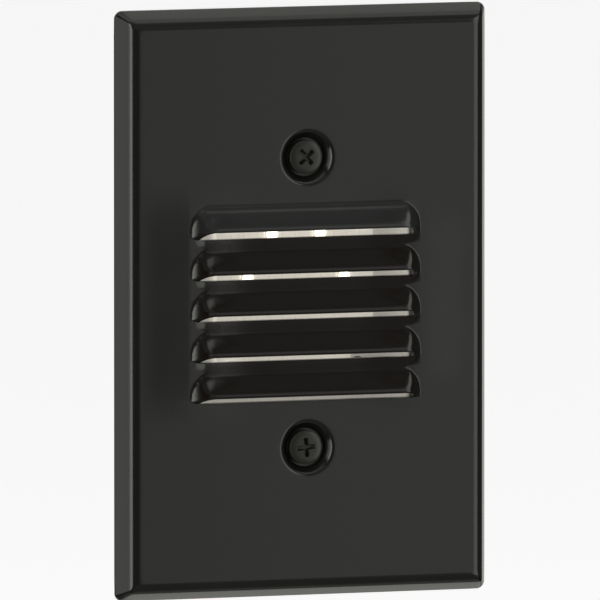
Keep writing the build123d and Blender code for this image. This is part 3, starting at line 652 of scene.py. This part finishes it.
class Finish(Nodes):
    # one material: textures on Object coordinates, joined to a Principled shader;
    # scales are features to the metre, bump depths are metres
    def __init__(self, name):
        super().__init__(bpy.data.materials.new(name))
        self.place = self.node("ShaderNodeTexCoord", output="Object")

    def stretched(self, x, y, z):
        return self.node("ShaderNodeMapping", None, {"Vector": self.place, "Scale": (x, y, z)})

    def noise(self, scale, detail=3.0, rough=0.5, on=None):
        sockets = {"Vector": on or self.place, "Scale": scale}
        sockets.update({"Detail": detail, "Roughness": rough})
        return self.node("ShaderNodeTexNoise", None, sockets)

    def cells(self, scale, output="Distance"):
        sockets = {"Vector": self.place, "Scale": scale}
        return self.node("ShaderNodeTexVoronoi", None, sockets, output)

    def copperRuns(self, count, scale, width, colours, **settings):
        # offset rows of rectangles in two colours, with gaps in a third
        first, second, gap = [opaque(colour) for colour in colours]
        sockets = {"Vector": self.stretched(count, count, count), "Scale": scale}
        sockets.update({"Mortar Size": width, "Color1": first, "Color2": second, "Mortar": gap})
        return self.node("ShaderNodeTexBrick", settings, sockets)

    def axes(self):
        # x, y and z of the point
        first = self.node("ShaderNodeSeparateXYZ", None, {0: self.place})
        return [Wire(self, socket) for socket in first.socket.node.outputs]

    def blend(self, factor, first, second, mode="MIX"):
        # a Mix node has its colours at sockets 6 and 7 and its result at output 2
        settings = {"data_type": "RGBA", "blend_type": mode}
        sockets = {0: factor, 6: opaque(first), 7: opaque(second)}
        return self.node("ShaderNodeMix", settings, sockets, 2)

    def bump(self, height, depth, strength, under=None):
        sockets = {"Height": height, "Distance": depth, "Strength": strength, "Normal": under}
        return self.node("ShaderNodeBump", None, sockets, "Normal")

    def done(self, **sockets):
        # the Principled shader with its sockets: names in camelCase stand for the spaced names
        names = {
            "baseColor": "Base Color",
            "emission": "Emission Color",
            "emissionStrength": "Emission Strength",
            "specular": "Specular IOR Level",
            "subsurface": "Subsurface Weight",
        }
        values = {names.get(key, key.capitalize()): opaque(v) for key, v in sockets.items()}
        shader = self.node("ShaderNodeBsdfPrincipled", None, values)
        self.node("ShaderNodeOutputMaterial", None, {"Surface": shader})
        return self.block


paint = {
    "low": (0.0085, 0.0088, 0.0078),
    "high": (0.012, 0.0122, 0.011),
    "paintedHoodLight": (0.021, 0.0215, 0.0225),  # painted light: the first hood's slope lighter, as lit from above
    "paintedHoodShade": (0.0042, 0.0018, 0.0006),  # painted shade, tinted warm: the hoods below the first and the strips between them darker
    "roughness": 0.14,
    # where the hoods' painted light and shade lie, in millimetres
    "zoneHalf": 25.2,
    "zoneFade": 2.6,
    "zoneHeight": 5.9,
    "zoneTopFade": 0.7,
    "zoneFoot": 1.0,
}


def blackPaint():
    # cured black coating: slight orange peel, fine grain, faint cloudiness, with painted light on
    # the first hood and painted shade on the hoods below it
    f = Finish("blackPaint")
    cloud = f.noise(140, 3)
    peel = f.noise(900, 2)
    grain = f.noise(5200, 2)
    x, y, z = f.axes()
    first, last = hoods["lips"][0] * mm, hoods["lips"][-1] * mm
    within = ((paint["zoneHalf"] * mm - x.size()) / (paint["zoneFade"] * mm)).most(0.0).least(1.0)
    under, fade = first + paint["zoneHeight"] * mm - z, paint["zoneTopFade"] * mm
    # painted light on the first hood's slope, fading out near its root
    paintedHoodLight = within * z.above(first) * under.most(0.0).least(fade) / fade
    # painted shade over the lower hoods and the strips between them, down to just below the last
    # lip
    paintedHoodShade = within * z.below(first) * z.above(last - paint["zoneFoot"] * mm)
    tone = f.blend(cloud, paint["low"], paint["high"])
    tone = f.blend(paintedHoodLight * (0.75 + 0.5 * cloud), tone, paint["paintedHoodLight"])
    tone = f.blend(paintedHoodShade, tone, paint["paintedHoodShade"])
    rough = paint["roughness"] + 0.05 * cloud + 0.025 * grain
    relief = f.bump(grain, 0.000004, 0.5, f.bump(peel, 0.000012, 0.6))
    return f.done(baseColor=tone, roughness=rough, specular=0.5, normal=relief)


def screwPaint():
    # oxide-black steel, scuffed grey on the crown
    f = Finish("screwPaint")
    scuff = f.noise(1400, 4)
    fine = f.noise(6000, 2)
    tone = f.blend(scuff, (0.014, 0.0145, 0.0115), (0.028, 0.028, 0.023))
    rough, relief = 0.26 + 0.12 * scuff, f.bump(fine, 0.000008, 0.5)
    return f.done(baseColor=tone, metallic=0.15, roughness=rough, normal=relief)


def foam():
    # closed-cell foam: small pores on a matt dark grey
    f = Finish("gasketFoam")
    pore = f.cells(2600)
    shade = f.noise(700, 3)
    tone = f.blend(shade, (0.022, 0.022, 0.024), (0.05, 0.05, 0.053))
    relief = f.bump(pore, 0.00012, 0.8)
    return f.done(baseColor=tone, roughness=0.88, specular=0.25, normal=relief)


def silicone():
    # cloudy white rubber that lets a little light in
    f = Finish("siliconeRing")
    cloud = f.noise(500, 3)
    tone = f.blend(cloud, (0.52, 0.52, 0.5), (0.62, 0.62, 0.6))
    relief = f.bump(cloud, 0.00002, 0.4)
    return f.done(baseColor=tone, roughness=0.42, subsurface=0.1, normal=relief)


def clearLens():
    # clear sheet: almost invisible head on, with a faint haze
    f = Finish("clearLens")
    haze = f.noise(300, 3)
    clear = 0.06 + 0.05 * haze
    return f.done(baseColor=(0.9, 0.92, 0.93), roughness=0.06, alpha=clear, specular=0.5)


def zincSteel(name, low, high):
    # zinc plate: soft spangle, faint rolling lines along Z
    f = Finish(name)
    spangle = f.cells(420, "Color")
    grey = f.node("ShaderNodeRGBToBW", None, {0: spangle})
    rolled = f.noise(900, 3, 0.6, f.stretched(1, 1, 0.06))
    tone = f.blend(0.55 * grey + 0.45 * rolled, low, high)
    rough, relief = 0.3 + 0.2 * rolled, f.bump(rolled, 0.00001, 0.5)
    return f.done(baseColor=tone, metallic=0.9, roughness=rough, normal=relief)


def plastic(name, low, high, rough=0.4, relief=0.3, **more):
    # moulded plastic: a faint mottle in colour and gloss, fine moulding texture
    f = Finish(name)
    mottle = f.noise(450, 3)
    fine = f.noise(1800, 3)
    tone = f.blend(mottle, low, high)
    grain = f.bump(fine, 0.00002, relief)
    return f.done(baseColor=tone, roughness=rough + 0.1 * mottle, normal=grain, **more)


def castHousing():
    # die-cast aluminium: sandy skin, flow marks, pitted
    f = Finish("castHousing")
    sand = f.noise(2400, 4, 0.6)
    flow = f.noise(160, 3, 0.6, f.stretched(1, 0.35, 1))
    pits = f.cells(900)
    tone = f.blend(0.5 * sand + 0.5 * flow, (0.33, 0.34, 0.35), (0.52, 0.53, 0.53))
    relief = f.bump(pits, 0.00003, 0.25, f.bump(sand, 0.00004, 0.7))
    return f.done(baseColor=tone, metallic=0.85, roughness=0.42 + 0.16 * sand, normal=relief)


def boardGreen():
    # green mask over copper runs
    f = Finish("boardGreen")
    weave = f.noise(1200, 2)
    greens = ((0.012, 0.11, 0.035), (0.015, 0.13, 0.045), (0.035, 0.22, 0.075))
    runs = f.copperRuns(260, 1.5, 0.05, greens, offset=0.4)
    relief = f.bump(weave, 0.00001, 0.5)
    return f.done(baseColor=runs, roughness=0.3 + 0.1 * weave, normal=relief)


def wound(name, low, high):
    # tape wound in even turns across X
    f = Finish(name)
    sockets = {"Vector": f.place, "Scale": 260.0, "Distortion": 0.6, "Detail": 1.0}
    turns = f.node("ShaderNodeTexWave", {"bands_direction": "X"}, sockets)
    lay = f.node("ShaderNodeRGBToBW", None, {0: turns})
    tone, relief = f.blend(lay, low, high), f.bump(lay, 0.00005, 0.5)
    return f.done(baseColor=tone, roughness=0.4, normal=relief)


# the chips are lit, and the pieces round them carry that light as a soft glow of their own
chips = {
    "places": ((-5.3, 13.88), (5.3, 13.88), (-10.6, 4.7), (10.6, 4.7)),  # x and z
    "lens": 1.25,
    "package": (0.21, 0.19, 0.16),
    "light": (1.0, 0.93, 0.78),
    "strength": 3.2,
    "boardLight": ((0.54, 0.51, 0.45), (0.68, 0.63, 0.55)),  # far from the chips and near them
    "boardSpread": 9.0,
    "boardStrength": 0.85,
    "trayLight": ((0.2, 0.19, 0.17), (0.5, 0.47, 0.42)),
    "traySpread": 12.0,
    "trayStrength": 0.7,
    "screwLight": (0.6, 0.57, 0.5),
    "screwStrength": 0.9,
    "screwDepth": 10.0,  # the board's screws end in front of this, the rear ones start behind
    "halfSheet": 0.3,  # middle of the tray's sheet
    "lensOverlap": 1.9,  # lens past the middle of the sheet of the tray's side walls
}


def glow(f, spread):
    # light that the chips throw on what is round them: the sum of 1 / (1 + (d / spread)^2)
    x, y, z = f.axes()
    total = 0.0
    for chipX, chipZ in chips["places"]:
        across, up = (x - chipX * mm) / (spread * mm), (z - chipZ * mm) / (spread * mm)
        total = total + 1 / (1 + (across**2 + up**2))
    return total


def ledChip():
    # white package round a warm, very bright lens
    f = Finish("ledChip")
    x, y, z = f.axes()
    ring = 10.0  # distance to the nearest chip's middle
    for chipX, chipZ in chips["places"]:
        away = ((x / mm - chipX) ** 2 + (z / mm - chipZ) ** 2) ** 0.5
        ring = away.least(ring)
    inside = ring.below(chips["lens"])
    grain = f.noise(4000, 2)
    tone = f.blend(inside, (0.85, 0.84, 0.8), (0.95, 0.85, 0.5))
    light = f.blend(inside, chips["package"], chips["light"])
    lit = {"emission": light, "emissionStrength": chips["strength"]}
    return f.done(baseColor=tone, roughness=0.4, normal=f.bump(grain, 0.00001, 0.3), **lit)


def boardWhite():
    # white solder mask with faint copper runs under it, lit by its chips
    f = Finish("boardWhite")
    weave = f.noise(1500, 2)
    whites = ((1, 1, 1), (0.93, 0.93, 0.93), (0.8, 0.79, 0.76))
    runs = f.copperRuns(110, 1.6, 0.03, whites, offset=0.35, squash=0.7)
    tone = f.blend(weave, (0.72, 0.7, 0.64), (0.8, 0.78, 0.72))
    tone = f.blend(0.6, tone, runs, "MULTIPLY")
    light = f.blend((0.42 * glow(f, chips["boardSpread"])).least(1.0), *chips["boardLight"])
    lit = {"emission": light, "emissionStrength": chips["boardStrength"]}
    return f.done(baseColor=tone, roughness=0.35, normal=f.bump(weave, 0.00001, 0.4), **lit)


def trayMetal():
    # bright brushed tray that carries the chips' light inside
    f = Finish("brightTray")
    brushed = f.noise(1600, 3, 0.6, f.stretched(1, 1, 0.05))
    tone = f.blend(brushed, (0.58, 0.58, 0.57), (0.78, 0.78, 0.76))
    rough, relief = 0.3 + 0.15 * brushed, f.bump(brushed, 0.000008, 0.4)
    low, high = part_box("lens")
    past = chips["lensOverlap"] * mm
    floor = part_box("light_tray")[1][1] - chips["halfSheet"] * mm
    x, y, z = f.axes()
    inside = y.below(floor) * x.size().below(high[0] - past)
    inside = inside * z.below(high[2] - past) * z.above(low[2] + past)
    light = f.blend((0.4 * glow(f, chips["traySpread"])).least(1.0), *chips["trayLight"])
    light = f.blend(inside, (0, 0, 0), light)
    lit = {"emission": light, "emissionStrength": chips["trayStrength"]}
    return f.done(baseColor=tone, metallic=0.75, roughness=rough, normal=relief, **lit)


def turnedMetal(name, low, high, onBoard=False):
    # bright fasteners and rivets, with tool marks too fine to count; screws on the white
    # board carry its light
    f = Finish(name)
    marks = f.noise(3800, 3)
    dull = f.noise(500, 2)
    tone = f.blend(dull, low, high)
    rough, relief = 0.28 + 0.16 * marks, f.bump(marks, 0.000012, 0.5)
    lit = {}
    if onBoard:
        x, y, z = f.axes()
        light = f.blend(y.below(chips["screwDepth"] * mm), (0, 0, 0), chips["screwLight"])
        lit = {"emission": light, "emissionStrength": chips["screwStrength"]}
    return f.done(baseColor=tone, metallic=0.95, roughness=rough, normal=relief, **lit)


finishes = {
    "plate_paint": blackPaint(),
    "screw_paint": screwPaint(),
    "foam": foam(),
    "silicone": silicone(),
    "lens": clearLens(),
    "zinc_steel": zincSteel("zincSteel", (0.36, 0.37, 0.38), (0.56, 0.57, 0.57)),
    "rivet": turnedMetal("rivetMetal", (0.55, 0.55, 0.56), (0.72, 0.72, 0.72)),
    "tray": trayMetal(),
    "pad": plastic("thermalPad", (0.35, 0.36, 0.4), (0.45, 0.46, 0.5), 0.7),
    "board_white": boardWhite(),
    "led": ledChip(),
    "small_screw": turnedMetal("smallScrewSteel", (0.42, 0.42, 0.42), (0.6, 0.6, 0.59), True),
    "nylon": plastic("whiteNylon", (0.7, 0.69, 0.64), (0.8, 0.79, 0.74), 0.42, subsurface=0.05),
    "lead_red": plastic("redInsulation", (0.4, 0.012, 0.01), (0.52, 0.02, 0.016), 0.36),
    "lead_black": plastic("blackInsulation", (0.012,) * 3, (0.022,) * 3, 0.36),
    "bush": plastic("bushRubber", (0.02,) * 3, (0.035,) * 3, 0.6),
    "cast_housing": castHousing(),
    "housing_screw": turnedMetal("housingScrewSteel", (0.38, 0.39, 0.4), (0.56, 0.57, 0.58)),
    "board_green": boardGreen(),
    "ferrite": plastic("ferriteCore", (0.025, 0.025, 0.028), (0.05, 0.05, 0.052), 0.55, 0.5),
    "coil_tape": wound("coilTape", (0.5, 0.33, 0.03), (0.72, 0.52, 0.07)),
    "can_sleeve": plastic("canSleeve", (0.01, 0.014, 0.03), (0.016, 0.022, 0.05), 0.28),
    "choke_sleeve": plastic("chokeSleeve", (0.012,) * 3, (0.03,) * 3, 0.3),
    "film_case": plastic("filmCase", (0.42, 0.05, 0.03), (0.5, 0.08, 0.04), 0.35),
    "varistor": plastic("varistorCoat", (0.02, 0.09, 0.28), (0.03, 0.13, 0.36), 0.4),
    "fuse_body": plastic("fuseBody", (0.5, 0.48, 0.42), (0.62, 0.6, 0.52), 0.25),
    "chip_black": plastic("chipBlack", (0.012, 0.012, 0.013), (0.022, 0.022, 0.024), 0.5),
    "cover_seal": plastic("coverSeal", (0.03, 0.03, 0.032), (0.05, 0.05, 0.052), 0.7),
    "cover_sheet": zincSteel("coverSheet", (0.42, 0.43, 0.44), (0.6, 0.61, 0.61)),
    "grommet": plastic("grommetRubber", (0.012,) * 3, (0.026,) * 3, 0.55, 0.5),
    "ground_green": plastic(
        "groundGreen", (0.01, 0.14, 0.03), (0.02, 0.2, 0.05), 0.32, metallic=0.4
    ),
}

slotOf = {part["node"]: part["material_slot"] for part in frame["record"]["subparts"]}
for name, node in frame["nodes"].items():
    if not node.material_slots:
        node.data.materials.append(None)
    for place in node.material_slots:
        place.material = finishes[slotOf[name]]
louvrePlate.data.materials.append(finishes["plate_paint"])
faceScrewPair.data.materials.append(finishes["screw_paint"])
print("finishes made:", len(finishes))

studio = {
    "distance": 4.6,
    "azimuth": -20.0,
    "elevation": 5.0,
    "frameWidth": 0.12428,  # metres across the picture at the light
    "aim": (0.00018, -0.000144),  # picture's centre right of and above the light's centre
    "sensor": 36.0,
    "viewEnd": 60.0,
    "floorDrop": 0.30,  # floor below the light's centre
    "floorHalf": 12.0,
    "floorGlow": 0.9,
    "grey": 0.02,  # what the room adds to the soft boxes
    "cardReach": 1.2,
    "cardTint": (1.0, 1.0, 0.94),
}
# soft boxes as (from, to) in azimuth, (from, to) in elevation, radiance; azimuth 0 is straight
# in front, right is positive
cards = {
    "leftBehind": ((-125, -85), (-25, 30), 1.0),
    "left": ((-84, -67), (-25, 30), 1.5),
    "leftFront": ((-66, -41), (-25, 30), 3.3),
    "nearLeft": ((-26, 6), (-25, 30), 0.04),
    "front": ((7, 15), (-18, 8), 0.25),
    "frontRight": ((16, 26), (-18, 8), 0.72),
    "rightFront": ((28, 56), (-25, 30), 1.65),
    "right": ((62, 127), (-25, 30), 0.08),
    "rightBehind": ((130, 160), (-25, 30), 0.7),
    "low": ((-15, 55), (-70, -20), 0.15),
    "high": ((-12, 52), (12, 33), 0.2),
    "higher": ((-18, 58), (36, 54), 0.22),
    "steep": ((-18, 58), (56, 66), 0.7),
    "over": ((-40, 40), (68, 106), 0.85),
    "overBehind": ((-40, 40), (109, 126), 0.72),
    "highBehind": ((-40, 40), (130, 152), 1.4),
    "under": ((-40, 40), (-104, -76), 0.35),
    "lowBehind": ((-40, 40), (-142, -112), 0.85),
}


def direction(azimuth, elevation):
    # unit vector from the light towards a place in the room
    side, up = math.radians(azimuth), math.radians(elevation)
    return np.array([math.sin(side) * math.cos(up), -math.cos(side) * math.cos(up), math.sin(up)])


def aimed(thing, place, away):
    # puts a camera or lamp at a place, looking against the given direction
    back = Vector(away).normalized()
    right = Vector((0, 0, 1)).cross(back).normalized()
    turn = Matrix((right, back.cross(right), back)).transposed().to_4x4()
    thing.matrix_world = Matrix.Translation(Vector(place)) @ turn
    bpy.context.scene.collection.objects.link(thing)


lensData = bpy.data.cameras.new("photoCamera")
lensData.sensor_width = studio["sensor"]
lensData.lens = studio["sensor"] * studio["distance"] / studio["frameWidth"]
lensData.clip_end = studio["viewEnd"]
camera = bpy.data.objects.new("photoCamera", lensData)
away = direction(studio["azimuth"], studio["elevation"])
across = direction(studio["azimuth"] + 90, 0)
target = across * studio["aim"][0] + np.cross(across, away) * studio["aim"][1]
aimed(camera, target + away * studio["distance"], away)
bpy.context.scene.camera = camera

for name, (sides, heights, radiance) in cards.items():
    lamp = bpy.data.lights.new(name, "AREA")
    reach = studio["cardReach"]
    width = 2 * reach * math.tan(math.radians((sides[1] - sides[0]) / 2))
    height = 2 * reach * math.tan(math.radians((heights[1] - heights[0]) / 2))
    lamp.shape, lamp.size, lamp.size_y = "RECTANGLE", width, height
    lamp.energy = radiance * width * height * math.pi  # watts that give this radiance
    lamp.color = studio["cardTint"]
    toward = direction(sum(sides) / 2, sum(heights) / 2)
    card = bpy.data.objects.new(name, lamp)
    aimed(card, toward * reach, toward)
    card.visible_camera = False

# the camera sees a white room, the light only a faint grey one
world = bpy.data.worlds.new("studioRoom")
bpy.context.scene.world = world
room = Nodes(world)
backgrounds = {}
for name, strength in (("soft", studio["grey"]), ("white", 1.0)):
    sockets = {"Color": (1, 1, 1, 1), "Strength": strength}
    backgrounds[name] = room.node("ShaderNodeBackground", None, sockets)
seen = room.node("ShaderNodeLightPath", output="Is Camera Ray")
shares = {0: seen, 1: backgrounds["soft"], 2: backgrounds["white"]}
mixed = room.node("ShaderNodeMixShader", None, shares)
room.node("ShaderNodeOutputWorld", None, {"Surface": mixed})

half, drop = studio["floorHalf"], -studio["floorDrop"]
corners = [(-half, -half, drop), (half, -half, drop), (half, half, drop), (-half, half, drop)]
floorMesh = bpy.data.meshes.new("paleFloor")
floorMesh.from_pydata(corners, [], [(0, 1, 2, 3)])
floor = bpy.data.objects.new("paleFloor", floorMesh)
bpy.context.scene.collection.objects.link(floor)
paper = Finish("palePaper")
pale = paper.blend(paper.noise(60, 4), (0.86, 0.86, 0.86), (0.9, 0.9, 0.9))
lit = {"emission": (1, 1, 1), "emissionStrength": studio["floorGlow"]}
floorMesh.materials.append(paper.done(baseColor=pale, roughness=0.9, **lit))
floor.visible_glossy = False
floor.visible_diffuse = False
floor.visible_shadow = False
bpy.context.scene.view_settings.view_transform = "Standard"
print("studio set")
